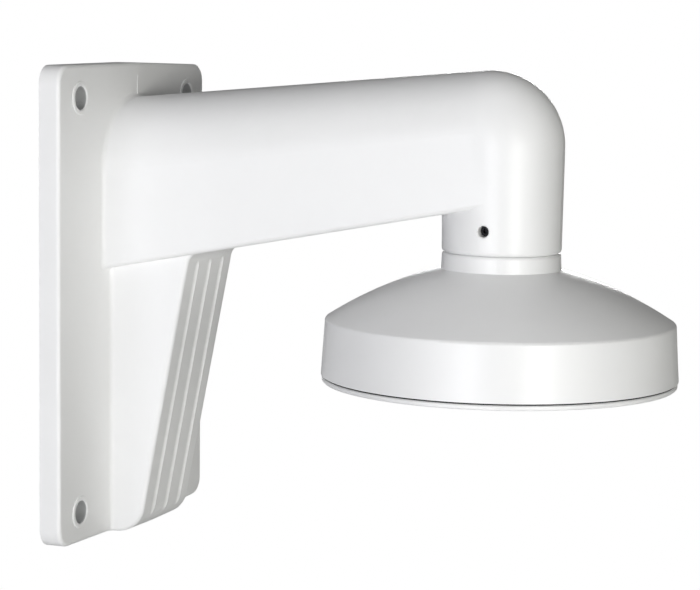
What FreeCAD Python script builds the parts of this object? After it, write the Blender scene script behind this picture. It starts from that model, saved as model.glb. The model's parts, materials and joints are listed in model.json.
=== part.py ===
import FreeCAD, Part
import Sketcher
import math
import os

# Camera wall bracket: a die-cast wall plate with a tapering arm, an elbow and a short neck, held up by
# a gusset, and under the neck a round pendant cap with the plate that a camera is fixed to.
# Frame: origin on the wall, in the middle of the four wall holes, +X out from the wall, +Z up.
# The bracket is symmetric about the plane y = 0.

SIZES = {
    # Wall plate
    "plate_width": 122.0,
    "plate_height": 183.3,
    "plate_centre_height": 0.35,
    "plate_edge_thickness": 8.7,
    "plate_ridge_thickness": 9.5,
    "plate_ridge_rise": 1.0,
    "plate_corner_radius": 7.0,
    "plate_web": 4.2,
    "plate_rim": 4.5,
    "wall_hole_diameter": 8.8,
    "wall_hole_round": 0.8,
    "wall_hole_lip_diameter": 12.8,
    "wall_hole_lip_rise": 0.6,
    "wall_hole_lip_round": 0.3,
    "wall_hole_spacing_across": 90.0,
    "wall_hole_spacing_up": 159.4,
    "wall_boss_diameter": 19.0,
    "parting_line_width": 0.8,
    "parting_line_rise": 0.15,
    "parting_line_end": 4.0,
    "back_rib_thickness": 3.0,
    "upper_back_rib_height": 44.0,
    "lower_back_rib_height": -34.0,
    # Arm, elbow and neck
    "neck_reach": 162.41,
    "bend_height": 64.52,
    "bend_radius": 5.15,
    "tube_radius": 22.75,
    "arm_rise": 5.03,
    "arm_root_start": 3.85307,
    "arm_root_width": 56.86,
    "arm_root_depth": 66.2,
    "arm_end_depth": 50.3,
    "arm_edge_round": 1.8,
    "arm_wall": 3.8,
    "root_fillet": 1.6,
    "outer_edge_round": 1.5,
    "neck_drop": 39.52,
    "neck_bottom_radius": 22.38,
    "neck_edge_round": 1.7,
    "neck_bore_radius": 16.0,
    # Gusset
    "gusset_sink": 0.30415,
    "gusset_top_reach": 42.6,
    "gusset_bottom_reach": 21.15,
    "gusset_root_width": 43.4,
    "gusset_top_width": 40.96,
    "gusset_bottom_width": 39.8,
    "gusset_nose_radius": 12.0,
    "gusset_cove_radius": 5.0,
    "gusset_wall": 3.6,
    "gusset_cavity_bottom": -84.0,
    "gusset_cavity_cover": 10.5,
    "groove_pitch": 11.1,
    "groove_radius": 2.0,
    "groove_depth": 0.8,
    "groove_end_drop": 6.3,
    "groove_runout_radius": 3.8,
    # Lock screw
    "lock_screw_offset": 0.28939,
    "lock_screw_diameter": 4.0,
    "lock_screw_length": 3.0,
    "lock_screw_clearance": 0.12,
    "lock_hole_bevel": 0.4,
    "lock_socket_width": 2.0,
    "lock_socket_depth": 1.6,
    # Pendant cap
    "collar_height": 6.2,
    "collar_top_radius": 22.2,
    "collar_radius": 22.5,
    "collar_edge_round": 1.1,
    "dome_radius": 65.6,
    "dome_drop": 19.4,
    "dome_bulge": 1.66,
    "dome_edge_round": 1.2,
    "dome_straight_run": 2.79179,
    "skirt_height": 20.9,
    "skirt_flare": 1.36,
    "cap_wall": 3.2,
    "spigot_height": 16.0,
    "spigot_clearance": 0.3,
    "spigot_wall": 3.2,
    "cap_boss_diameter": 8.0,
    "cap_boss_inset": 6.76,
    "cap_boss_height": 18.0,
    "cap_boss_bore": 10.0,
    # Gasket, camera plate and its screws
    "gasket_thickness": 0.6,
    "gasket_inset": 0.6,
    "gasket_width": 1.9,
    "camera_plate_inset": 0.41,
    "camera_plate_thickness": 1.9,
    "camera_plate_bevel": 0.4,
    "cable_hole_diameter": 40.0,
    "camera_hole_diameter": 4.2,
    "camera_hole_circle": 92.0,
    "camera_hole_turn": 60.0,
    "plate_screw_count": 3,
    "plate_screw_diameter": 3.0,
    "plate_screw_head": 5.6,
    "plate_screw_length": 9.0,
    "plate_screw_clearance": 0.1,
    "screw_slot_radius": 0.9,
    "screw_slot_depth": 1.0,
}

# Places worked out from the sizes above, written as expressions of the sheet.
BEND_X = "(dims.neck_reach - dims.bend_radius)"
CREST = "(dims.bend_radius + dims.tube_radius)"
HALF_HOLES_ACROSS = "(dims.wall_hole_spacing_across / 2)"
HALF_HOLES_UP = "(dims.wall_hole_spacing_up / 2)"
PLATE_TOP = "(dims.plate_centre_height + dims.plate_height / 2)"
PLATE_BOTTOM = "(dims.plate_centre_height - dims.plate_height / 2)"
NECK_BOTTOM = "(dims.bend_height - dims.neck_drop)"
DOME_TOP = f"({NECK_BOTTOM} - dims.collar_height)"
DOME_EDGE = f"({DOME_TOP} - dims.dome_drop)"
DOME_SPAN = "(dims.dome_radius - dims.collar_radius)"
DOME_CHORD = f"sqrt({DOME_SPAN} ^ 2 + dims.dome_drop ^ 2)"
SKIRT_BOTTOM = f"({DOME_EDGE} - dims.skirt_height)"
SKIRT_RADIUS = "(dims.dome_radius + dims.skirt_flare)"
PLATE_SCREW_REACH = f"({SKIRT_RADIUS} - dims.cap_boss_inset)"
CAMERA_PLATE_RADIUS = f"({SKIRT_RADIUS} - dims.camera_plate_inset)"
SPIGOT_RADIUS = "(dims.neck_bore_radius - dims.spigot_clearance)"
CABLE_WAY_RADIUS = f"({SPIGOT_RADIUS} - dims.spigot_wall)"
ARM_LENGTH = f"(({BEND_X} - dims.arm_root_start) / cos(dims.arm_rise))"
ARM_TAPER = f"atan((dims.arm_root_depth - dims.arm_end_depth) / {ARM_LENGTH})"
ARM_BOTTOM_SLOPE = f"(dims.arm_rise * 1 deg + {ARM_TAPER})"
ARM_END_SUNK = f"({CREST} - dims.arm_end_depth)"
ARM_END_X = f"({BEND_X} - {ARM_END_SUNK} * sin(dims.arm_rise))"
ARM_END_Z = f"(dims.bend_height + {ARM_END_SUNK} * cos(dims.arm_rise))"
ARM_BOTTOM_AT_NECK = f"({ARM_END_Z} + (dims.neck_reach - {ARM_END_X}) * tan({ARM_BOTTOM_SLOPE}))"
LOCK_SCREW_HEIGHT = f"(({NECK_BOTTOM} + {ARM_BOTTOM_AT_NECK}) / 2 + dims.lock_screw_offset)"
ARM_BOTTOM_FALL = f"({ARM_END_X} - dims.gusset_top_reach) * tan({ARM_BOTTOM_SLOPE})"
GUSSET_TOP = f"({ARM_END_Z} - {ARM_BOTTOM_FALL} + dims.gusset_sink)"
GUSSET_HEIGHT = f"({GUSSET_TOP} - {PLATE_BOTTOM})"
GUSSET_SLOPE = f"((dims.gusset_top_reach - dims.gusset_bottom_reach) / {GUSSET_HEIGHT})"
BELOW_PLATE = f"({PLATE_BOTTOM} - 2 * dims.plate_ridge_rise)"

# How far a point of an edge may be from a line or face and still count as on it.
TOUCH = 0.02
LOOSE_TOUCH = 0.06
# How far past a form's own size the tests of edges still look.
MARGIN = 1.0

doc = FreeCAD.newDocument("camera_wall_bracket")
dims = doc.addObject("Spreadsheet::Sheet", "dims")
for row, (alias, size) in enumerate(SIZES.items(), start=1):
    dims.set(f"A{row}", alias)
    dims.set(f"B{row}", str(size))
    dims.setAlias(f"B{row}", alias)
doc.recompute()


def value(expression):
    """The number that an expression of the sheet gives."""
    return float(dims.evalExpression(str(expression)))


def new_body(name):
    body = doc.addObject("PartDesign::Body", name)
    body.Label = name
    return body


def new_sketch(body, name, role, place=("0", "0", "0"), lean=None):
    """A sketch on one of the body's own origin planes, shifted in the plane's own axes and leaned about
    its first axis."""
    sketch = body.newObject("Sketcher::SketchObject", name)
    plane = next(item for item in body.Origin.OriginFeatures if item.Role == role)
    sketch.AttachmentSupport = [(plane, "")]
    sketch.MapMode = "FlatFace"
    spot = FreeCAD.Vector(*[value(text) for text in place])
    turn = FreeCAD.Rotation()
    if lean:
        turn = FreeCAD.Rotation(FreeCAD.Vector(1, 0, 0), value(lean))
    sketch.AttachmentOffset = FreeCAD.Placement(spot, turn)
    for axis, text in zip("xyz", place):
        sketch.setExpression(f"AttachmentOffset.Base.{axis}", text)
    if lean:
        sketch.setExpression("AttachmentOffset.Rotation.Angle", lean)
    return sketch


def bind(sketch, kind, *parts):
    """A dimension of the sketch, tied to an expression of the sheet (the last of the parts)."""
    number = sketch.addConstraint(Sketcher.Constraint(kind, *parts[:-1], value(parts[-1])))
    sketch.setExpression(f"Constraints[{number}]", str(parts[-1]))


def rule(sketch, kind, *parts):
    sketch.addConstraint(Sketcher.Constraint(kind, *parts))


def place_point(sketch, element, end, across, up):
    bind(sketch, "DistanceX", -1, 1, element, end, across)
    bind(sketch, "DistanceY", -1, 1, element, end, up)


def closed_outline(sketch, corners):
    """A closed outline of straight lines through the corners. A corner is (across, up) or
    (across, up, radius of its round)."""
    spots = [FreeCAD.Vector(value(corner[0]), value(corner[1]), 0) for corner in corners]
    count = len(corners)
    starts = list(spots)
    ends = list(spots)
    rounds = [value(corner[2]) if len(corner) == 3 else 0 for corner in corners]
    for number in range(count):
        if rounds[number]:
            before = (spots[number - 1] - spots[number]).normalize()
            after = (spots[(number + 1) % count] - spots[number]).normalize()
            setback = rounds[number] / math.tan(before.getAngle(after) / 2)
            ends[number] = spots[number] + before * setback
            starts[number] = spots[number] + after * setback
    lines = []
    for number in range(count):
        line = Part.LineSegment(starts[number], ends[(number + 1) % count])
        lines.append(sketch.addGeometry(line, False))
    for number, corner in enumerate(corners):
        previous = lines[number - 1]
        following = lines[number]
        if not rounds[number]:
            rule(sketch, "Coincident", previous, 2, following, 1)
            place_point(sketch, following, 1, corner[0], corner[1])
            continue
        first = ends[number]
        last = starts[number]
        before = (first - spots[number]).normalize()
        after = (last - spots[number]).normalize()
        reach = rounds[number] / math.sin(before.getAngle(after) / 2)
        centre = spots[number] + (before + after).normalize() * reach
        left_turn = before.cross(after).z < 0
        angles = [math.atan2(spot.y - centre.y, spot.x - centre.x) for spot in (first, last)]
        if not left_turn:
            angles.reverse()
        circle = Part.Circle(centre, FreeCAD.Vector(0, 0, 1), rounds[number])
        arc = sketch.addGeometry(Part.ArcOfCircle(circle, angles[0], angles[1]), False)
        point = sketch.addGeometry(Part.Point(spots[number]), True)
        place_point(sketch, point, 1, corner[0], corner[1])
        rule(sketch, "PointOnObject", point, 1, previous)
        rule(sketch, "PointOnObject", point, 1, following)
        rule(sketch, "Tangent", arc, 1 if left_turn else 2, previous, 2)
        rule(sketch, "Tangent", arc, 2 if left_turn else 1, following, 1)
        bind(sketch, "Radius", arc, corner[2])


def circle_at(sketch, across, up, radius):
    centre = FreeCAD.Vector(value(across), value(up), 0)
    circle = sketch.addGeometry(Part.Circle(centre, FreeCAD.Vector(0, 0, 1), value(radius)), False)
    place_point(sketch, circle, 3, across, up)
    bind(sketch, "Radius", circle, radius)


def arch(sketch, half_width, centre, bottom, edge_round=None):
    """The arm's section: a half circle on two upright sides, closed by a flat bottom whose corners may
    be rounded. The centre of the half circle and the bottom are heights."""
    width = value(half_width)
    top = value(centre)
    low = value(bottom)
    corner = value(edge_round) if edge_round else 0
    up = FreeCAD.Vector(0, 0, 1)
    crown_circle = Part.Circle(FreeCAD.Vector(0, top, 0), up, width)
    crown = sketch.addGeometry(Part.ArcOfCircle(crown_circle, 0, math.pi), False)
    left_top = FreeCAD.Vector(-width, top, 0)
    left_low = FreeCAD.Vector(-width, low + corner, 0)
    right_top = FreeCAD.Vector(width, top, 0)
    right_low = FreeCAD.Vector(width, low + corner, 0)
    left = sketch.addGeometry(Part.LineSegment(left_top, left_low), False)
    floor_left = FreeCAD.Vector(corner - width, low, 0)
    floor_right = FreeCAD.Vector(width - corner, low, 0)
    floor = sketch.addGeometry(Part.LineSegment(floor_left, floor_right), False)
    right = sketch.addGeometry(Part.LineSegment(right_low, right_top), False)
    rule(sketch, "Tangent", crown, 2, left, 1)
    rule(sketch, "Tangent", right, 2, crown, 1)
    bind(sketch, "Radius", crown, half_width)
    place_point(sketch, crown, 3, "0", centre)
    rule(sketch, "Vertical", left)
    rule(sketch, "Vertical", right)
    rule(sketch, "Horizontal", floor)
    bind(sketch, "DistanceY", -1, 1, floor, 1, bottom)
    if not edge_round:
        rule(sketch, "Coincident", left, 2, floor, 1)
        rule(sketch, "Coincident", floor, 2, right, 1)
        return
    for side, before, after, start in ((-1, left, floor, math.pi), (1, floor, right, 1.5 * math.pi)):
        centre_spot = FreeCAD.Vector(side * (width - corner), low + corner, 0)
        circle = Part.Circle(centre_spot, up, corner)
        arc = sketch.addGeometry(Part.ArcOfCircle(circle, start, start + math.pi / 2), False)
        rule(sketch, "Tangent", arc, 1, before, 2)
        rule(sketch, "Tangent", arc, 2, after, 1)
        bind(sketch, "Radius", arc, edge_round)


def pad(body, name, sketch, length, reverse=False, midplane=False):
    feature = body.newObject("PartDesign::Pad", name)
    feature.Profile = sketch
    feature.setExpression("Length", length)
    feature.Reversed = reverse
    feature.Midplane = midplane
    return feature


def pocket(body, name, sketch, length=None, reverse=False, midplane=False):
    feature = body.newObject("PartDesign::Pocket", name)
    feature.Profile = sketch
    if length:
        feature.setExpression("Length", length)
    else:
        feature.Type = "ThroughAll"
    feature.Reversed = reverse
    feature.Midplane = midplane
    return feature


def loft(body, name, kind, first, second):
    feature = body.newObject(f"PartDesign::{kind}Loft", name)
    feature.Profile = first
    feature.Sections = [second]
    feature.Ruled = True
    return feature


def turned(body, name, kind, sketch, axis, angle="360"):
    feature = body.newObject(f"PartDesign::{kind}", name)
    feature.Profile = sketch
    feature.ReferenceAxis = (sketch, [axis])
    feature.setExpression("Angle", angle)
    return feature


def dress(body, name, kind, chosen, size):
    """Round or bevel the edges of the body's last feature that the test picks."""
    doc.recompute()
    base = body.Tip
    names = [f"Edge{n}" for n, edge in enumerate(base.Shape.Edges, start=1) if chosen(edge)]
    if not names:
        raise ValueError(f"{name}: no edge found")
    feature = body.newObject(f"PartDesign::{kind}", name)
    feature.Base = (base, names)
    feature.setExpression("Radius" if kind == "Fillet" else "Size", size)
    doc.recompute()
    return feature


def samples(edge):
    return edge.discretize(5)


def near(number, other, reach=TOUCH):
    return abs(number - other) < reach


def plate_front(spot):
    """Height of the wall plate's front face over the wall at a place on it."""
    slope = value("2 * (dims.plate_ridge_thickness - dims.plate_edge_thickness) / dims.plate_width")
    return value("dims.plate_ridge_thickness") - slope * abs(spot.y)


def build_plate(body):
    # Outline with four round corners and a slight peak in the middle of the top and bottom edges.
    outline = new_sketch(body, "plate_outline", "YZ_Plane")
    half = "dims.plate_width / 2"
    closed_outline(outline, [
        (f"-{half}", PLATE_BOTTOM, "dims.plate_corner_radius"),
        ("0", f"{PLATE_BOTTOM} - dims.plate_ridge_rise"),
        (half, PLATE_BOTTOM, "dims.plate_corner_radius"),
        (half, PLATE_TOP, "dims.plate_corner_radius"),
        ("0", f"{PLATE_TOP} + dims.plate_ridge_rise"),
        (f"-{half}", PLATE_TOP, "dims.plate_corner_radius"),
    ])
    pad(body, "plate", outline, "dims.plate_ridge_thickness")
    # The front face falls away a little from the ridge to both sides: the die parts in the middle.
    for side, sign in (("near", "-"), ("far", "")):
        slope = new_sketch(body, f"{side}_front_slope", "XY_Plane")
        closed_outline(slope, [
            ("dims.plate_ridge_thickness", "0"),
            ("dims.plate_edge_thickness", f"{sign}dims.plate_width / 2"),
            ("dims.plate_ridge_thickness", f"{sign}dims.plate_width / 2"),
        ])
        pocket(body, f"{side}_front", slope, midplane=True)


def arm_section(body, name, distance, inset="0", edge_round=None):
    """The arm's section a distance back from the elbow, square to its crest, or inside its wall."""
    share = f"(({distance}) / {ARM_LENGTH})"
    back = f"({distance})"
    place = (
        "0",
        f"dims.bend_height - {back} * sin(dims.arm_rise)",
        f"{BEND_X} - {back} * cos(dims.arm_rise)",
    )
    sketch = new_sketch(body, name, "YZ_Plane", place, "-dims.arm_rise")
    outer = f"(dims.tube_radius + (dims.arm_root_width / 2 - dims.tube_radius) * {share})"
    depth = f"(dims.arm_end_depth + (dims.arm_root_depth - dims.arm_end_depth) * {share})"
    arch(sketch, f"{outer} - {inset}", f"{CREST} - {outer}", f"{CREST} - {depth} + {inset}", edge_round)
    return sketch


def elbow_section(body, name, inset="0"):
    sketch = new_sketch(body, name, "YZ_Plane", ("0", "dims.bend_height", BEND_X), "-dims.arm_rise")
    arch(sketch, f"dims.tube_radius - {inset}", "dims.bend_radius", "0")
    return sketch


def build_arm(body):
    root = arm_section(body, "arm_root", ARM_LENGTH, edge_round="dims.arm_edge_round")
    end = arm_section(body, "arm_end", "0", edge_round="dims.arm_edge_round")
    loft(body, "arm", "Additive", root, end)
    bend = elbow_section(body, "elbow_section")
    turned(body, "elbow", "Revolution", bend, "H_Axis", "90 + dims.arm_rise")
    # Under the bend the flat sides run on until they touch the round neck.
    bottom_z = f"({ARM_BOTTOM_AT_NECK} - dims.bend_height)"
    first = new_sketch(body, "cheek_start", "YZ_Plane", ("0", "dims.bend_height", BEND_X),
                       "-dims.arm_rise")
    closed_outline(first, cheek_corners("dims.tube_radius", ARM_END_SUNK))
    last = new_sketch(body, "cheek_end", "YZ_Plane", ("0", "dims.bend_height", "dims.neck_reach"))
    low_width = f"({neck_radius(f'(dims.bend_height + {bottom_z})')})"
    closed_outline(last, cheek_corners(low_width, bottom_z))
    loft(body, "cheeks", "Additive", first, last)
    neck = new_sketch(body, "neck_profile", "XZ_Plane", ("dims.neck_reach", "0", "0"))
    closed_outline(neck, [
        ("0", NECK_BOTTOM),
        ("dims.neck_bottom_radius", NECK_BOTTOM, "dims.neck_edge_round"),
        ("dims.tube_radius", "dims.bend_height"),
        ("0", "dims.bend_height"),
    ])
    turned(body, "neck", "Revolution", neck, "V_Axis")


def neck_radius(height):
    """The neck's radius, which grows a little from its mouth up to the bend."""
    taper = "(dims.tube_radius - dims.neck_bottom_radius) / dims.neck_drop"
    return f"dims.neck_bottom_radius + ({height} - {NECK_BOTTOM}) * {taper}"


def cheek_corners(low_half_width, low_height):
    return [
        ("-dims.tube_radius", "0"),
        (f"-{low_half_width}", low_height, "dims.arm_edge_round"),
        (low_half_width, low_height, "dims.arm_edge_round"),
        ("dims.tube_radius", "0"),
    ]


def gusset_front(height):
    """How far the gusset's sloping front stands out from the wall at a height."""
    return f"(dims.gusset_bottom_reach + (({height}) - {PLATE_BOTTOM}) * {GUSSET_SLOPE})"


def gusset_section(body, name, height, back, inset="0"):
    """A level section of the gusset, or of its hollow. It narrows from its root to its front."""
    sketch = new_sketch(body, name, "XY_Plane", ("0", "0", height))
    reach = f"({gusset_front(height)} - {inset})"
    root = f"(dims.gusset_root_width / 2 - {inset})"
    share = f"((({height}) - {PLATE_BOTTOM}) / {GUSSET_HEIGHT})"
    grown = f"(dims.gusset_top_width - dims.gusset_bottom_width) * {share}"
    front = f"((dims.gusset_bottom_width + {grown}) / 2 - {inset})"
    closed_outline(sketch, [
        (back, f"-{root}"),
        (reach, f"-{front}"),
        (reach, front),
        (back, root),
    ])
    return sketch


def build_gusset(body):
    top = gusset_section(body, "gusset_top", GUSSET_TOP, "dims.plate_web")
    bottom = gusset_section(body, "gusset_bottom", BELOW_PLATE, "dims.plate_web")
    loft(body, "gusset", "Additive", bottom, top)
    # Its underside runs on from the slightly peaked bottom edge of the plate.
    under = new_sketch(body, "underside_outline", "YZ_Plane")
    half = "dims.plate_width / 2"
    closed_outline(under, [
        ("0", f"{PLATE_BOTTOM} - dims.plate_ridge_rise"),
        (f"-{half}", PLATE_BOTTOM),
        (f"-{half}", f"{BELOW_PLATE} - dims.plate_ridge_rise"),
        (half, f"{BELOW_PLATE} - dims.plate_ridge_rise"),
        (half, PLATE_BOTTOM),
    ])
    pocket(body, "underside", under, reverse=True)


def arm_bottom(reach):
    """Height of the arm's flat bottom at a distance from the wall."""
    return value(ARM_END_Z) - (value(ARM_END_X) - reach) * math.tan(math.radians(value(ARM_BOTTOM_SLOPE)))


def keep_near_half(body, name):
    """Cut the far half away: rounds are made on one half, which is then mirrored."""
    far = new_sketch(body, f"{name}_middle", "XZ_Plane")
    closed_outline(far, [
        ("-dims.neck_reach", "-2 * dims.plate_height"),
        ("2 * dims.neck_reach", "-2 * dims.plate_height"),
        ("2 * dims.neck_reach", "2 * dims.plate_height"),
        ("-dims.neck_reach", "2 * dims.plate_height"),
    ])
    pocket(body, name, far)


def mirror(body, name):
    """The whole of the near half again on the far side of the middle plane."""
    doc.recompute()
    feature = body.newObject("PartDesign::Mirrored", name)
    feature.TransformMode = "Whole shape"
    plane = next(item for item in body.Origin.OriginFeatures if item.Role == "XZ_Plane")
    feature.MirrorPlane = (plane, [""])
    body.Tip = feature
    doc.recompute()


def plate_bottom(spot):
    """Height of the plate's slightly peaked bottom edge at a place along it."""
    fall = value("2 * dims.plate_ridge_rise / dims.plate_width")
    return value(f"{PLATE_BOTTOM} - dims.plate_ridge_rise") + fall * abs(spot.y)


def along(test):
    """A test of an edge that holds where it holds at every sample along the edge, off the middle."""
    def holds(edge):
        spots = samples(edge)
        return all(test(spot) for spot in spots) and not all(near(spot.y, 0) for spot in spots)
    return holds


def on_front_face(spot):
    return near(spot.x, plate_front(spot))


def build_rounds(body):
    """The rounds of the near half: the gusset's nose and the cove above it, the fillets where arm and
    gusset stand on the plate, and the outer edges of plate and gusset, which run into each other."""
    arm_side = value("dims.arm_root_width / 2") + MARGIN
    crest = value(f"dims.bend_height + {CREST}")
    plate_face = value("dims.plate_ridge_thickness")
    gusset_foot = value(gusset_front(PLATE_BOTTOM)) - MARGIN
    gusset_thin = value("dims.gusset_bottom_width / 2") - MARGIN
    gusset_wide = value("dims.gusset_root_width / 2") + MARGIN
    long_edge = value("dims.plate_height / 4")

    def at_bottom(spot):
        return near(spot.z, plate_bottom(spot), LOOSE_TOUCH)

    def nose(spot):
        return at_bottom(spot) and spot.x > gusset_foot

    def under_arm(spot):
        on_gusset = near(spot.x, value(gusset_front(spot.z)), LOOSE_TOUCH)
        return on_gusset and near(spot.z, arm_bottom(spot.x), LOOSE_TOUCH)

    def arm_root(spot):
        inside = abs(spot.y) < arm_side and arm_bottom(spot.x) - MARGIN < spot.z < crest
        return on_front_face(spot) and inside

    def gusset_root(spot):
        return on_front_face(spot) and gusset_thin < abs(spot.y) < gusset_wide

    def plate_rim(spot):
        beside = abs(spot.y) > arm_side or abs(spot.z) > crest
        return on_front_face(spot) and (beside or at_bottom(spot))

    def gusset_underside(spot):
        return at_bottom(spot) and spot.x > plate_face and abs(spot.y) > gusset_thin

    def root_edge(edge):
        beside_gusset = along(gusset_root)(edge) and edge.Length > long_edge
        return along(arm_root)(edge) or beside_gusset

    def outer_edge(edge):
        return along(plate_rim)(edge) or along(gusset_underside)(edge)

    dress(body, "gusset_nose", "Fillet", along(nose), "dims.gusset_nose_radius")
    dress(body, "gusset_cove", "Fillet", along(under_arm), "dims.gusset_cove_radius")
    dress(body, "root_fillets", "Fillet", root_edge, "dims.root_fillet")
    dress(body, "outer_rounds", "Fillet", outer_edge, "dims.outer_edge_round")


def groove_sketch(body, name, height, out, up):
    """The three grooves' circles, square to the gusset's front at a height. The sketch's origin lies a
    distance out from the front, and the circles lie up from it in the sketch."""
    slope = f"atan({GUSSET_SLOPE})"
    place = (
        "0",
        f"{height} - ({out}) * sin({slope})",
        f"{gusset_front(height)} + ({out}) * cos({slope})",
    )
    sketch = new_sketch(body, name, "YZ_Plane", place, f"{slope} - 90 deg")
    for across in ("-dims.groove_pitch", "0", "dims.groove_pitch"):
        circle_at(sketch, across, up, "dims.groove_radius")
    return sketch


def cut_grooves(body):
    """Three soft grooves down the gusset's front. Each bends out of it in the cove at the top, and the
    nose falls away from its bottom."""
    outside = "dims.groove_radius - dims.groove_depth"
    start = groove_sketch(body, "groove_circles", BELOW_PLATE, outside, "0")
    top = f"({GUSSET_TOP} - dims.groove_end_drop)"
    run = f"({top} - {BELOW_PLATE}) / cos(atan({GUSSET_SLOPE}))"
    pocket(body, "grooves", start, run, reverse=True)
    bend = "dims.groove_runout_radius"
    end = groove_sketch(body, "runout_circles", top, f"{outside} + {bend}", bend)
    turned(body, "groove_runouts", "Groove", end, "H_Axis", "90")


def add_parting_line(body):
    """The fine raised line that the parted die leaves on the plate's ridge, above the arm."""
    line = new_sketch(body, "parting_line_outline", "XZ_Plane")
    high = f"{PLATE_TOP} - dims.parting_line_end"
    closed_outline(line, [
        ("dims.plate_web", "dims.bend_height"),
        ("dims.plate_ridge_thickness + dims.parting_line_rise", "dims.bend_height"),
        ("dims.plate_ridge_thickness + dims.parting_line_rise", f"{high} - dims.parting_line_rise"),
        ("dims.plate_ridge_thickness", high),
        ("dims.plate_web", high),
    ])
    pad(body, "parting_line", line, "dims.parting_line_width", midplane=True)


def hollow_casting(body):
    """The way for the cable from the open back to the neck, and the hollow in the gusset."""
    past_back = f"{ARM_LENGTH} + dims.plate_ridge_thickness"
    start = arm_section(body, "duct_back", past_back, "dims.arm_wall")
    end = arm_section(body, "duct_end", "0", "dims.arm_wall")
    loft(body, "arm_duct", "Subtractive", start, end)
    bend = elbow_section(body, "duct_bend_section", "dims.arm_wall")
    turned(body, "duct_bend", "Groove", bend, "H_Axis", "90 + dims.arm_rise")
    bore = new_sketch(body, "neck_bore_circle", "XY_Plane", ("0", "0", "dims.bend_height"))
    circle_at(bore, "dims.neck_reach", "0", "dims.neck_bore_radius")
    pocket(body, "neck_bore", bore, "dims.neck_drop")
    low = gusset_section(body, "hollow_bottom", "dims.gusset_cavity_bottom", "-dims.plate_web",
                         "dims.gusset_wall")
    high = gusset_section(body, "hollow_top", f"({GUSSET_TOP} - dims.gusset_cavity_cover)",
                          "-dims.plate_web", "dims.gusset_wall")
    loft(body, "gusset_hollow", "Subtractive", low, high)


def finish_back(body):
    """The recess behind the wall plate, with its bosses, ribs and wall holes."""
    recess = new_sketch(body, "recess_outline", "YZ_Plane")
    side = "(dims.plate_width / 2 - dims.plate_rim)"
    low = f"({PLATE_BOTTOM} + dims.plate_rim)"
    high = f"({PLATE_TOP} - dims.plate_rim)"
    corner = "dims.plate_corner_radius - dims.plate_rim"
    closed_outline(recess, [
        (f"-{side}", low, corner),
        (side, low, corner),
        (side, high, corner),
        (f"-{side}", high, corner),
    ])
    depth = "dims.plate_edge_thickness - dims.plate_web"
    pocket(body, "recess", recess, depth, reverse=True)
    ribs = new_sketch(body, "back_rib_outlines", "YZ_Plane")
    rib_roots = {
        "dims.upper_back_rib_height": "(dims.arm_root_width / 2 - dims.arm_wall)",
        "dims.lower_back_rib_height": "(dims.gusset_root_width / 2 - dims.gusset_wall)",
    }
    for height, root in rib_roots.items():
        for sign in ("-", ""):
            inner = f"{sign}{root}"
            outer = f"{sign}(dims.plate_width / 2 - dims.plate_rim / 2)"
            first, last = (outer, inner) if sign else (inner, outer)
            closed_outline(ribs, [
                (first, f"{height} - dims.back_rib_thickness / 2"),
                (last, f"{height} - dims.back_rib_thickness / 2"),
                (last, f"{height} + dims.back_rib_thickness / 2"),
                (first, f"{height} + dims.back_rib_thickness / 2"),
            ])
    pad(body, "back_ribs", ribs, depth)
    bosses = new_sketch(body, "boss_circles", "YZ_Plane")
    lips = new_sketch(body, "lip_circles", "YZ_Plane", ("0", "0", "dims.plate_web"))
    holes = new_sketch(body, "wall_hole_circles", "YZ_Plane")
    for across in (f"-{HALF_HOLES_ACROSS}", HALF_HOLES_ACROSS):
        for up in (f"-{HALF_HOLES_UP}", HALF_HOLES_UP):
            circle_at(bosses, across, up, "dims.wall_boss_diameter / 2")
            circle_at(lips, across, up, "dims.wall_hole_lip_diameter / 2")
            circle_at(holes, across, up, "dims.wall_hole_diameter / 2")
    pad(body, "wall_bosses", bosses, depth)
    # A low raised lip round each hole gives the head of the wall screw a flat seat.
    pad(body, "wall_hole_lips", lips, f"{depth} + dims.wall_hole_lip_rise")
    pocket(body, "wall_holes", holes, reverse=True)
    across_holes = value(HALF_HOLES_ACROSS)
    up_holes = value(HALF_HOLES_UP)
    lip_top = value("dims.plate_edge_thickness + dims.wall_hole_lip_rise")

    def is_lip_edge(diameter):
        radius = value(diameter) / 2

        def holds(edge):
            spots = samples(edge)
            ring = all(near(math.hypot(abs(spot.y) - across_holes, abs(spot.z) - up_holes), radius)
                       for spot in spots)
            return ring and all(near(spot.x, lip_top) for spot in spots)
        return holds

    dress(body, "wall_hole_mouths", "Fillet", is_lip_edge("dims.wall_hole_diameter"), "dims.wall_hole_round")
    dress(body, "wall_hole_lip_rounds", "Fillet", is_lip_edge("dims.wall_hole_lip_diameter"),
          "dims.wall_hole_lip_round")


def drill_lock_hole(body):
    circle = new_sketch(body, "lock_hole_circle", "XZ_Plane")
    radius = "dims.lock_screw_diameter / 2 + dims.lock_screw_clearance"
    circle_at(circle, "dims.neck_reach", LOCK_SCREW_HEIGHT, radius)
    pocket(body, "lock_hole", circle, "dims.tube_radius + dims.neck_edge_round", reverse=True)
    centre = FreeCAD.Vector(value("dims.neck_reach"), 0, value(LOCK_SCREW_HEIGHT))
    outside = -value("(dims.neck_bore_radius + dims.neck_bottom_radius) / 2")

    def is_lock_hole_mouth(edge):
        spots = samples(edge)
        ring = all(near(math.hypot(spot.x - centre.x, spot.z - centre.z), value(radius), LOOSE_TOUCH)
                   for spot in spots)
        return ring and all(spot.y < outside for spot in spots)

    dress(body, "lock_hole_mouth", "Chamfer", is_lock_hole_mouth, "dims.lock_hole_bevel")


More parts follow.
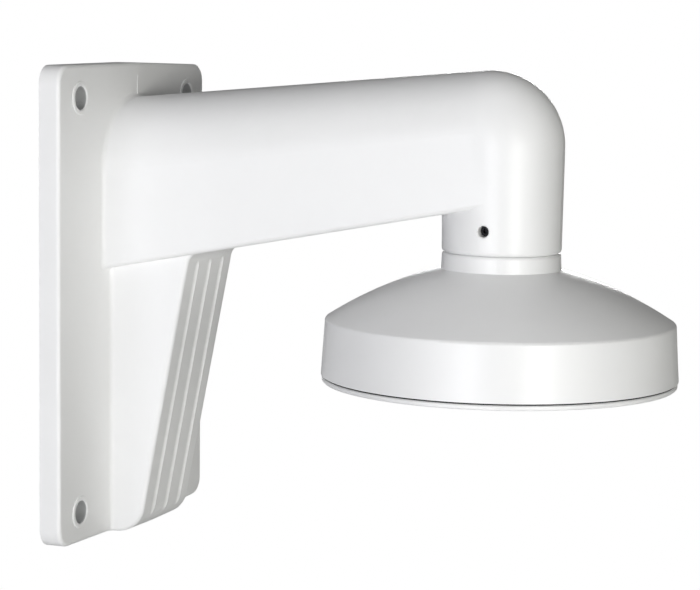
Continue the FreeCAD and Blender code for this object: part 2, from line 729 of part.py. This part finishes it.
def build_casting():
    body = new_body("bracket_casting")
    build_plate(body)
    build_arm(body)
    build_gusset(body)
    keep_near_half(body, "near_half")
    build_rounds(body)
    mirror(body, "whole_casting")
    cut_grooves(body)
    add_parting_line(body)
    hollow_casting(body)
    finish_back(body)
    drill_lock_hole(body)
    return body


def round_body(name):
    """A body whose own upright axis is the neck's."""
    body = new_body(name)
    body.setExpression("Placement.Base.x", "dims.neck_reach")
    return body


def dome_middle(outward):
    """The middle of the dome's straight slope in the profile, moved out from it."""
    across = f"(dims.dome_radius + dims.collar_radius) / 2 + ({outward}) * dims.dome_drop / {DOME_CHORD}"
    up = f"({DOME_TOP} + {DOME_EDGE}) / 2 + ({outward}) * {DOME_SPAN} / {DOME_CHORD}"
    return across, up


def build_cap():
    body = round_body("pendant_cap")
    profile = new_sketch(body, "cap_profile", "XZ_Plane")
    spigot_top = f"{NECK_BOTTOM} + dims.spigot_height"
    # The dome's curve is as wide as the slope lets it be, less a short straight run at either end.
    apex = "(2 * dims.dome_bulge)"
    leg = f"sqrt(({DOME_CHORD} / 2) ^ 2 + {apex} ^ 2)"
    dome_curve = f"(({leg} - dims.dome_straight_run) * ({DOME_CHORD} / 2) / {apex})"
    closed_outline(profile, [
        (CABLE_WAY_RADIUS, f"{DOME_TOP} - dims.cap_wall"),
        dome_middle("dims.dome_bulge - dims.cap_wall"),
        ("dims.dome_radius - dims.cap_wall", f"{DOME_EDGE} - dims.cap_wall"),
        (f"{SKIRT_RADIUS} - dims.cap_wall", SKIRT_BOTTOM),
        (SKIRT_RADIUS, SKIRT_BOTTOM),
        ("dims.dome_radius", DOME_EDGE, "dims.dome_edge_round"),
        (*dome_middle(apex), dome_curve),
        ("dims.collar_radius", DOME_TOP),
        ("dims.collar_top_radius", NECK_BOTTOM, "dims.collar_edge_round"),
        (SPIGOT_RADIUS, NECK_BOTTOM),
        (SPIGOT_RADIUS, spigot_top),
        (CABLE_WAY_RADIUS, spigot_top),
    ])
    turned(body, "cap", "Revolution", profile, "V_Axis")
    seat = f"({SKIRT_BOTTOM} - dims.gasket_thickness)"
    bosses = new_sketch(body, "cap_boss_circles", "XY_Plane", ("0", "0", seat))
    bores = new_sketch(body, "cap_boss_bores", "XY_Plane", ("0", "0", seat))
    for turn in screw_turns():
        across, up = on_circle(PLATE_SCREW_REACH, turn)
        circle_at(bosses, across, up, "dims.cap_boss_diameter / 2")
        circle_at(bores, across, up, "dims.plate_screw_diameter / 2 + dims.plate_screw_clearance")
    pad(body, "cap_bosses", bosses, "dims.cap_boss_height")
    pocket(body, "boss_bores", bores, "dims.cap_boss_bore", reverse=True)
    return body


def screw_turns():
    """The angles of the plate screws round the cap, in degrees."""
    count = round(value("dims.plate_screw_count"))
    return [90 + 360 * number / count for number in range(count)]


def on_circle(reach, turn):
    return f"({reach}) * cos({turn})", f"({reach}) * sin({turn})"


def build_gasket():
    body = round_body("cap_gasket")
    ring = new_sketch(body, "gasket_ring", "XY_Plane", ("0", "0", SKIRT_BOTTOM))
    outer = f"({SKIRT_RADIUS} - dims.gasket_inset)"
    circle_at(ring, "0", "0", outer)
    circle_at(ring, "0", "0", f"{outer} - dims.gasket_width")
    pad(body, "gasket", ring, "dims.gasket_thickness", reverse=True)
    return body


def build_camera_plate():
    body = round_body("camera_plate")
    top = f"({SKIRT_BOTTOM} - dims.gasket_thickness)"
    disc = new_sketch(body, "camera_plate_outline", "XY_Plane", ("0", "0", top))
    circle_at(disc, "0", "0", CAMERA_PLATE_RADIUS)
    circle_at(disc, "0", "0", "dims.cable_hole_diameter / 2")
    hole_radius = "dims.plate_screw_diameter / 2 + dims.plate_screw_clearance"
    for turn in screw_turns():
        circle_at(disc, *on_circle(PLATE_SCREW_REACH, turn), hole_radius)
        camera_turn = turn + value("dims.camera_hole_turn")
        circle_at(disc, *on_circle("dims.camera_hole_circle / 2", camera_turn),
                  "dims.camera_hole_diameter / 2")
    pad(body, "disc", disc, "dims.camera_plate_thickness", reverse=True)
    low = value(f"{top} - dims.camera_plate_thickness")
    rim = value(CAMERA_PLATE_RADIUS)
    screw_hole = value(hole_radius)
    reach = value(PLATE_SCREW_REACH)

    def is_rim(edge):
        whole_circle = near(edge.Length, 2 * math.pi * rim, MARGIN)
        return whole_circle and all(near(math.hypot(spot.x, spot.y), rim) for spot in samples(edge))

    def is_screw_mouth(edge):
        round_edge = near(edge.Length, 2 * math.pi * screw_hole)
        spots = samples(edge)
        around = all(near(math.hypot(spot.x, spot.y), reach, 2 * screw_hole) for spot in spots)
        return round_edge and around and all(near(spot.z, low) for spot in spots)

    dress(body, "rim_bevel", "Chamfer", is_rim, "dims.camera_plate_bevel")
    dress(body, "countersinks", "Chamfer", is_screw_mouth,
          f"dims.plate_screw_head / 2 - ({hole_radius}) + dims.plate_screw_clearance")
    return body


def build_plate_screws():
    body = round_body("plate_screws")
    low = f"({SKIRT_BOTTOM} - dims.gasket_thickness - dims.camera_plate_thickness)"
    head = "dims.plate_screw_head / 2"
    shank = "dims.plate_screw_diameter / 2"
    profile = new_sketch(body, "screw_profile", "YZ_Plane", (PLATE_SCREW_REACH, low, "0"))
    closed_outline(profile, [
        ("0", "dims.screw_slot_depth"),
        ("dims.screw_slot_radius", "dims.screw_slot_depth"),
        ("dims.screw_slot_radius", "0"),
        (head, "0"),
        (shank, f"{head} - {shank}"),
        (shank, "dims.plate_screw_length"),
        ("0", "dims.plate_screw_length"),
    ])
    screw = turned(body, "screw", "Revolution", profile, "V_Axis")
    doc.recompute()
    ring = body.newObject("PartDesign::PolarPattern", "screw_ring")
    ring.Originals = [screw]
    axis = next(item for item in body.Origin.OriginFeatures if item.Role == "Z_Axis")
    ring.Axis = (axis, [""])
    ring.Angle = 360
    ring.setExpression("Occurrences", "dims.plate_screw_count")
    body.Tip = ring
    return body


def build_lock_screw():
    body = new_body("lock_screw")
    body.setExpression("Placement.Base.x", "dims.neck_reach")
    body.setExpression("Placement.Base.y", f"-{SPIGOT_RADIUS} - dims.lock_screw_clearance")
    body.setExpression("Placement.Base.z", LOCK_SCREW_HEIGHT)
    rod = new_sketch(body, "lock_screw_circle", "XZ_Plane")
    circle_at(rod, "0", "0", "dims.lock_screw_diameter / 2")
    pad(body, "lock_screw_rod", rod, "dims.lock_screw_length")
    socket = new_sketch(body, "socket_outline", "XZ_Plane", ("0", "0", "dims.lock_screw_length"))
    corner_reach = "dims.lock_socket_width / 2 / cos(30)"
    closed_outline(socket, [on_circle(corner_reach, 60 * corner) for corner in range(6)])
    pocket(body, "socket", socket, "dims.lock_socket_depth")
    return body


pieces = [
    build_casting(),
    build_cap(),
    build_lock_screw(),
    build_gasket(),
    build_camera_plate(),
    build_plate_screws(),
]
doc.recompute()

for item in doc.Objects:
    if "Invalid" in item.State or "Error" in item.State:
        raise RuntimeError(f"{item.Name} failed: {item.getStatusString()}")
for piece in pieces:
    if piece.Shape.isNull() or not piece.Shape.isValid():
        raise RuntimeError(f"{piece.Label} has no valid shape")

os.makedirs("parts", exist_ok=True)
for piece in pieces:
    piece.Shape.exportStep(f"parts/{piece.Label}.step")
    box = piece.Shape.BoundBox
    print(f"{piece.Label}: {len(piece.Shape.Solids)} solid(s), volume {piece.Shape.Volume:.0f}, "
          f"x {box.XMin:.2f} to {box.XMax:.2f}, y {box.YMin:.2f} to {box.YMax:.2f}, "
          f"z {box.ZMin:.2f} to {box.ZMax:.2f}")
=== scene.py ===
# %% [markdown]
# # A camera wall bracket
# The real object is a die-cast bracket: a wall plate, a hollow arm on a gusset, and a round cap from which
# a camera hangs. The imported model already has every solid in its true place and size, so this lesson keeps
# those solids and gives them what a camera sees: powder coat, steel, rubber, light and a viewpoint.
# Loading the frame comes first, because every later step measures from it.

# %% Load the frame
import json
import math

import bmesh
import bpy
from mathutils import Matrix, Vector


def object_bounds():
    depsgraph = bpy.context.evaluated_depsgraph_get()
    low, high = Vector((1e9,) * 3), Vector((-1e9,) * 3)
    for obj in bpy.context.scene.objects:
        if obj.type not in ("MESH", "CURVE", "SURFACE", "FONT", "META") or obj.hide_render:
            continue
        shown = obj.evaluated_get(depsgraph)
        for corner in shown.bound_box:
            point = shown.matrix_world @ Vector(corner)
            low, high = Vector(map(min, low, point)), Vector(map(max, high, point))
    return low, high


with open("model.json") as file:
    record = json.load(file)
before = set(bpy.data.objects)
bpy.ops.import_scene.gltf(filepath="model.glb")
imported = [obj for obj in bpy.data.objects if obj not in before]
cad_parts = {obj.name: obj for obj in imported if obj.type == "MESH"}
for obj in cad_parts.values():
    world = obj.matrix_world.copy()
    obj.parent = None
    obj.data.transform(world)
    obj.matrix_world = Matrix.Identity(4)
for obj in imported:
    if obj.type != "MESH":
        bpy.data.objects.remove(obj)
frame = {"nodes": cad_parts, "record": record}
cad_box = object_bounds()
nodes = frame["nodes"]
MM = 0.001
for name, node in sorted(nodes.items()):
    sides = tuple(round(side / MM, 1) for side in node.dimensions)
    print(f"{name}: {len(node.data.vertices)} vertices, {sides} mm")

# %% [markdown]
# ## The viewpoint
# The photograph was taken with a long lens, a little above the cap and turned to the bracket's near side.
# A camera can be aimed with a Track To constraint or by angles. Here the angles are used, because the
# viewpoint was worked out from the object's own edges and has a small roll, which a constraint would lose.

# %% Camera
AZIMUTH = math.radians(22.016)
ELEVATION = math.radians(6.592)
ROLL = math.radians(0.804)
CAMERA_PLACE = Vector((413.591, -771.568, 101.569)) * MM
IMAGE_WIDTH = 700
FOCAL_PIXELS = 2175.586
SENSOR_WIDTH = 36.0

back = Vector((
    math.sin(AZIMUTH) * math.cos(ELEVATION),
    -math.cos(AZIMUTH) * math.cos(ELEVATION),
    math.sin(ELEVATION),
))
level_right = (-back).cross(Vector((0, 0, 1))).normalized()
level_up = level_right.cross(-back)
right = level_right * math.cos(ROLL) + level_up * math.sin(ROLL)
up = level_up * math.cos(ROLL) - level_right * math.sin(ROLL)

camera = bpy.data.objects.new("camera", bpy.data.cameras.new("camera"))
bpy.context.scene.collection.objects.link(camera)
camera.data.sensor_width = SENSOR_WIDTH
camera.data.lens = FOCAL_PIXELS / IMAGE_WIDTH * SENSOR_WIDTH
turn = Matrix((right, up, back)).transposed()
camera.matrix_world = Matrix.LocRotScale(CAMERA_PLACE, turn.to_quaternion(), None)
bpy.context.scene.camera = camera
print(f"lens {camera.data.lens:.1f} mm")

# %% [markdown]
# ## Colour and node helpers
# Paint and plastic colours are known as sRGB hex values, but a shader works in linear light, so one
# function converts them. A second function adds any node to a tree with its settings and its links,
# which keeps each material readable from top to bottom.

# %% Helpers for materials


def linear(hex_colour):
    """An sRGB hex colour as linear RGBA."""
    channels = [int(hex_colour[i:i + 2], 16) / 255 for i in (0, 2, 4)]
    light = [c / 12.92 if c <= 0.04045 else ((c + 0.055) / 1.055) ** 2.4 for c in channels]
    return (*light, 1.0)


def add(tree, kind, inputs=None, **settings):
    """Adds a node. Its inputs are values, or sockets of other nodes to link from."""
    node = tree.nodes.new(kind)
    for key, setting in settings.items():
        setattr(node, key, setting)
    for key, given in (inputs or {}).items():
        socket = node.inputs[key]
        if isinstance(given, bpy.types.NodeSocket):
            tree.links.new(given, socket)
        else:
            socket.default_value = given
    return node


def new_material(name):
    """An empty material and its node tree."""
    material = bpy.data.materials.new(name)
    material.use_nodes = True
    material.node_tree.nodes.clear()
    return material, material.node_tree


# %% [markdown]
# ## Floor and white surroundings
# The bracket is shown free on white. A curved studio sweep would do, but it hides the object when the
# viewpoint moves behind it, so the floor is one wide disc well below the bracket and the white beyond it is
# the world itself. Straight at the lens both are pure white. To every other ray the floor is plain matt
# white board, which throws the lamps' light back up under the bracket, and the world is dark, so that the
# lamps alone make the form.

# %% Floor and world
FLOOR_DROP = 450 * MM
FLOOR_RADIUS = 40.0
FLOOR_SIDES = 96
BOARD_WHITE = "f4f4f4"
BOARD_ROUGHNESS = 0.9
PURE_WHITE = linear("ffffff")
FAINT = 0.01

floor_mesh = bpy.data.meshes.new("studio_floor")
shape = bmesh.new()
bmesh.ops.create_circle(shape, cap_ends=True, segments=FLOOR_SIDES, radius=FLOOR_RADIUS)
bmesh.ops.translate(shape, verts=shape.verts, vec=(0, 0, cad_box[0].z - FLOOR_DROP))
shape.to_mesh(floor_mesh)
shape.free()
floor = bpy.data.objects.new("studio_floor", floor_mesh)
bpy.context.scene.collection.objects.link(floor)

material, tree = new_material("matt_white_board")
rays = add(tree, "ShaderNodeLightPath")
board = add(tree, "ShaderNodeBsdfPrincipled", {
    "Base Color": linear(BOARD_WHITE),
    "Roughness": BOARD_ROUGHNESS,
})
seen = add(tree, "ShaderNodeEmission", {"Color": PURE_WHITE, "Strength": 1.0})
both = add(tree, "ShaderNodeMixShader", {
    0: rays.outputs["Is Camera Ray"],
    1: board.outputs[0],
    2: seen.outputs[0],
})
add(tree, "ShaderNodeOutputMaterial", {"Surface": both.outputs[0]})
floor_mesh.materials.append(material)

world = bpy.data.worlds.new("white_studio")
bpy.context.scene.world = world
world.use_nodes = True
tree = world.node_tree
tree.nodes.clear()
rays = add(tree, "ShaderNodeLightPath")
dark = add(tree, "ShaderNodeBackground", {"Color": PURE_WHITE, "Strength": FAINT})
seen = add(tree, "ShaderNodeBackground", {"Color": PURE_WHITE, "Strength": 1.0})
both = add(tree, "ShaderNodeMixShader", {
    0: rays.outputs["Is Camera Ray"],
    1: dark.outputs[0],
    2: seen.outputs[0],
})
add(tree, "ShaderNodeOutputWorld", {"Surface": both.outputs[0]})
bpy.context.scene.view_settings.view_transform = "Standard"

# %% [markdown]
# ## Lamps
# In the photograph the near sides of the arm and the cap are almost white, the front of the wall plate is
# a soft grey, and its far half lies in the arm's shade. So two cool soft boxes stand on the near side at
# the height of the bracket, two slightly warm ones light what faces outward, and two large ones above keep
# the top faces readable. Two weak ones light the back and the far side, for views from behind. Their beams
# are narrow, so that little of their light comes back up from the floor. Area lamps are used because their
# size sets how soft the shade edges are.

# %% Lamps
LAMP_AIM = Vector((100, 0, 0)) * MM
LAMP_DISTANCE = 2.2
COOL_WHITE = "f8f9ff"
WARM_WHITE = "fffffa"
PLAIN_WHITE = "ffffff"
SMALL, LARGE, REAR = 0.6, 1.4, 0.5
NARROW_BEAM = 18
OPEN_BEAM = 180


def soft_box(name, azimuth, elevation, size, power, colour, spread=OPEN_BEAM):
    """A square area lamp aimed at the bracket from a direction, with its angles in degrees."""
    lamp = bpy.data.objects.new(name, bpy.data.lights.new(name, "AREA"))
    bpy.context.scene.collection.objects.link(lamp)
    turned, raised = math.radians(azimuth), math.radians(elevation)
    toward = Vector((
        math.sin(turned) * math.cos(raised),
        -math.cos(turned) * math.cos(raised),
        math.sin(raised),
    ))
    lamp.location = LAMP_AIM + toward * LAMP_DISTANCE
    lamp.rotation_mode = "QUATERNION"
    lamp.rotation_quaternion = toward.to_track_quat("Z", "Y")
    lamp.data.size = size
    lamp.data.energy = power
    lamp.data.color = linear(colour)[:3]
    lamp.data.spread = math.radians(spread)
    lamp.visible_camera = False
    return lamp


soft_box("near_box", 0, 0, SMALL, 13.8, COOL_WHITE)
soft_box("left_near_box", -20, 0, SMALL, 4.4, COOL_WHITE)
soft_box("outward_box", 45, 0, SMALL, 18.6, WARM_WHITE)
soft_box("far_side_box", 70, 2, SMALL, 4.0, WARM_WHITE)
soft_box("upper_near_box", -30, 45, LARGE, 6.0, PLAIN_WHITE)
soft_box("overhead_box", 5, 82, LARGE, 8.6, PLAIN_WHITE)
soft_box("behind_box", 262, 0, REAR, 0.7, PLAIN_WHITE, spread=NARROW_BEAM)
soft_box("far_fill_box", 196, 4, REAR, 0.25, PLAIN_WHITE, spread=NARROW_BEAM)

# %% [markdown]
# ## White powder coat on cast aluminium
# Such castings are sprayed with white polyester powder and baked. The coat levels to a satin surface with
# a faint orange peel, waves of one to two millimetres and some microns deep, and it varies a little in
# gloss and tone. The peel is a bump from noise on the object's own coordinates, so it has one real scale
# on every piece. A finer grain lies on top of it. That grain is 0.1 mm on the real coat, too fine for
# this picture, so it is drawn at 0.3 mm.

# %% A function for the coat
PEEL_WIDTH = 1.8 * MM
PEEL_DEPTH = 0.012 * MM
GRAIN_WIDTH = 0.3 * MM
GRAIN_DEPTH = 0.002 * MM
GLOSS_PATCH = 28 * MM
PATCH_LOW, PATCH_HIGH = 0.3, 0.7
COAT_SMOOTH, COAT_ROUGH = 0.34, 0.42
COAT_DARK, COAT_LIGHT = "ededed", "f2f2f2"
COAT_IOR = 1.5


def powder_coat(tree, place):
    """A shader of the coat, with its tone, gloss and relief, from a place in the object."""
    patches = add(tree, "ShaderNodeTexNoise", {
        "Vector": place,
        "Scale": 1 / GLOSS_PATCH,
        "Detail": 3.0,
    })
    gloss = add(tree, "ShaderNodeMapRange", {
        "Value": patches.outputs["Fac"],
        "From Min": PATCH_LOW,
        "From Max": PATCH_HIGH,
        "To Min": COAT_SMOOTH,
        "To Max": COAT_ROUGH,
    })
    tone = add(tree, "ShaderNodeMix", {
        "Factor": patches.outputs["Fac"],
        "A": linear(COAT_DARK),
        "B": linear(COAT_LIGHT),
    }, data_type="RGBA")
    peel = add(tree, "ShaderNodeTexNoise", {
        "Vector": place,
        "Scale": 1 / PEEL_WIDTH,
        "Detail": 1.0,
    })
    waves = add(tree, "ShaderNodeBump", {"Height": peel.outputs["Fac"], "Distance": PEEL_DEPTH})
    grain = add(tree, "ShaderNodeTexNoise", {
        "Vector": place,
        "Scale": 1 / GRAIN_WIDTH,
        "Detail": 2.0,
    })
    relief = add(tree, "ShaderNodeBump", {
        "Height": grain.outputs["Fac"],
        "Distance": GRAIN_DEPTH,
        "Normal": waves.outputs["Normal"],
    })
    return add(tree, "ShaderNodeBsdfPrincipled", {
        "Base Color": tone.outputs["Result"],
        "Roughness": gloss.outputs["Result"],
        "IOR": COAT_IOR,
        "Normal": relief.outputs["Normal"],
    })


# %% White powder coat
white_coat, tree = new_material("white_powder_coat")
coat = powder_coat(tree, add(tree, "ShaderNodeTexCoord").outputs["Object"])
add(tree, "ShaderNodeOutputMaterial", {"Surface": coat.outputs[0]})

# %% [markdown]
# ## The casting's coat, with painted shade in the wall holes
# The walls of the four wall holes get a grey painted into their colour. It is painted shade, which reads
# darker than the white round them. One material can hold both: a mask tells whether a point is near a hole's
# axis. Folding the coordinates with an absolute value lets one mask serve all four.

# %% Mask of the wall holes
HOLES = {mount["name"]: mount for mount in frame["record"]["mounts"]}["wall_holes"]["dims"]
HOLE_RADIUS = HOLES["hole_r_mm"] * MM
HALF_ACROSS = HOLES["spacing_x_mm"] * MM / 2
HALF_UP = HOLES["spacing_y_mm"] * MM / 2
BORE_SKIN = 0.06 * MM
print(f"wall holes: radius {HOLE_RADIUS / MM:.1f} mm, {HALF_ACROSS / MM:.1f} mm across "
      f"and {HALF_UP / MM:.1f} mm up from the middle")


def near_hole_axis(tree, place):
    """1 on the walls of the wall holes and 0 elsewhere, as a socket."""
    parts = add(tree, "ShaderNodeSeparateXYZ", {"Vector": place}).outputs
    offsets = []
    for axis, half in (("Y", HALF_ACROSS), ("Z", HALF_UP)):
        folded = add(tree, "ShaderNodeMath", {0: parts[axis]}, operation="ABSOLUTE")
        offset = add(tree, "ShaderNodeMath", {0: folded.outputs[0], 1: half}, operation="SUBTRACT")
        offsets.append(offset.outputs[0])
    flat = add(tree, "ShaderNodeCombineXYZ", {"X": offsets[0], "Y": offsets[1]})
    reach = add(tree, "ShaderNodeVectorMath", {0: flat.outputs[0]}, operation="LENGTH")
    inside = add(tree, "ShaderNodeMath", {
        0: reach.outputs["Value"],
        1: HOLE_RADIUS + BORE_SKIN,
    }, operation="LESS_THAN")
    return inside.outputs[0]


# %% White powder coat with painted shade in the holes
# The grey of the hole walls is painted shade: two tones mixed by fine noise.
HOLE_SHADE_DARK, HOLE_SHADE_LIGHT = "b0b1b2", "bcbdbe"
HOLE_WALL_ROUGHNESS = 0.5

coated_casting, tree = new_material("white_coated_cast_aluminium")
place = add(tree, "ShaderNodeTexCoord").outputs["Object"]
coat = powder_coat(tree, place)
specks = add(tree, "ShaderNodeTexNoise", {
    "Vector": place,
    "Scale": 1 / GRAIN_WIDTH,
    "Detail": 3.0,
})
grey = add(tree, "ShaderNodeMix", {
    "Factor": specks.outputs["Fac"],
    "A": linear(HOLE_SHADE_DARK),
    "B": linear(HOLE_SHADE_LIGHT),
}, data_type="RGBA")
painted_hole_shade = add(tree, "ShaderNodeBsdfPrincipled", {
    "Base Color": grey.outputs["Result"],
    "Roughness": HOLE_WALL_ROUGHNESS,
})
# Inside the hole mask the white coat gives way to the grey, which paints shade onto the hole walls.
both = add(tree, "ShaderNodeMixShader", {
    0: near_hole_axis(tree, place),
    1: coat.outputs[0],
    2: painted_hole_shade.outputs[0],
})
add(tree, "ShaderNodeOutputMaterial", {"Surface": both.outputs[0]})

# %% [markdown]
# ## Blackened steel, bright steel and rubber
# The lock screw is blackened steel, which is dark and oily with a soft shine. The plate's screws are
# zinc plated: bright metal with a fine, uneven gloss. The gasket is moulded black rubber with a dull skin.
# Each takes its gloss from a fine noise, so that no highlight is perfectly even.

# %% Blackened steel
METAL_GRAIN = 0.35 * MM
STEEL_RELIEF = 0.004 * MM
BLACKENED = "242426"
BLACKENED_SMOOTH, BLACKENED_ROUGH = 0.32, 0.5

blackened_steel, tree = new_material("blackened_steel")
place = add(tree, "ShaderNodeTexCoord").outputs["Object"]
grain = add(tree, "ShaderNodeTexNoise", {"Vector": place, "Scale": 1 / METAL_GRAIN, "Detail": 4.0})
gloss = add(tree, "ShaderNodeMapRange", {
    "Value": grain.outputs["Fac"],
    "To Min": BLACKENED_SMOOTH,
    "To Max": BLACKENED_ROUGH,
})
relief = add(tree, "ShaderNodeBump", {"Height": grain.outputs["Fac"], "Distance": STEEL_RELIEF})
surface = add(tree, "ShaderNodeBsdfPrincipled", {
    "Base Color": linear(BLACKENED),
    "Metallic": 1.0,
    "Roughness": gloss.outputs["Result"],
    "Normal": relief.outputs["Normal"],
})
add(tree, "ShaderNodeOutputMaterial", {"Surface": surface.outputs[0]})

# %% Zinc-plated steel
ZINC = "c8cacc"
ZINC_SMOOTH, ZINC_ROUGH = 0.22, 0.38

zinc_plated, tree = new_material("zinc_plated_steel")
place = add(tree, "ShaderNodeTexCoord").outputs["Object"]
grain = add(tree, "ShaderNodeTexNoise", {"Vector": place, "Scale": 1 / METAL_GRAIN, "Detail": 4.0})
gloss = add(tree, "ShaderNodeMapRange", {
    "Value": grain.outputs["Fac"],
    "To Min": ZINC_SMOOTH,
    "To Max": ZINC_ROUGH,
})
surface = add(tree, "ShaderNodeBsdfPrincipled", {
    "Base Color": linear(ZINC),
    "Metallic": 1.0,
    "Roughness": gloss.outputs["Result"],
})
add(tree, "ShaderNodeOutputMaterial", {"Surface": surface.outputs[0]})

# %% Black rubber
RUBBER_SKIN = 0.5 * MM
RUBBER_RELIEF = 0.01 * MM
RUBBER_BLACK = "151515"
RUBBER_SMOOTH, RUBBER_ROUGH = 0.6, 0.8

rubber, tree = new_material("moulded_black_rubber")
place = add(tree, "ShaderNodeTexCoord").outputs["Object"]
skin = add(tree, "ShaderNodeTexNoise", {"Vector": place, "Scale": 1 / RUBBER_SKIN, "Detail": 3.0})
dull = add(tree, "ShaderNodeMapRange", {
    "Value": skin.outputs["Fac"],
    "To Min": RUBBER_SMOOTH,
    "To Max": RUBBER_ROUGH,
})
relief = add(tree, "ShaderNodeBump", {"Height": skin.outputs["Fac"], "Distance": RUBBER_RELIEF})
surface = add(tree, "ShaderNodeBsdfPrincipled", {
    "Base Color": linear(RUBBER_BLACK),
    "Roughness": dull.outputs["Result"],
    "Normal": relief.outputs["Normal"],
})
add(tree, "ShaderNodeOutputMaterial", {"Surface": surface.outputs[0]})

# %% Put the materials on the frame's solids
FINISHES = {
    "bracket_casting": coated_casting,
    "pendant_cap": white_coat,
    "camera_plate": white_coat,
    "lock_screw": blackened_steel,
    "plate_screws": zinc_plated,
    "cap_gasket": rubber,
}
for name, finish in FINISHES.items():
    for slot in nodes[name].material_slots:
        slot.material = finish
    print(name, "is", finish.name)
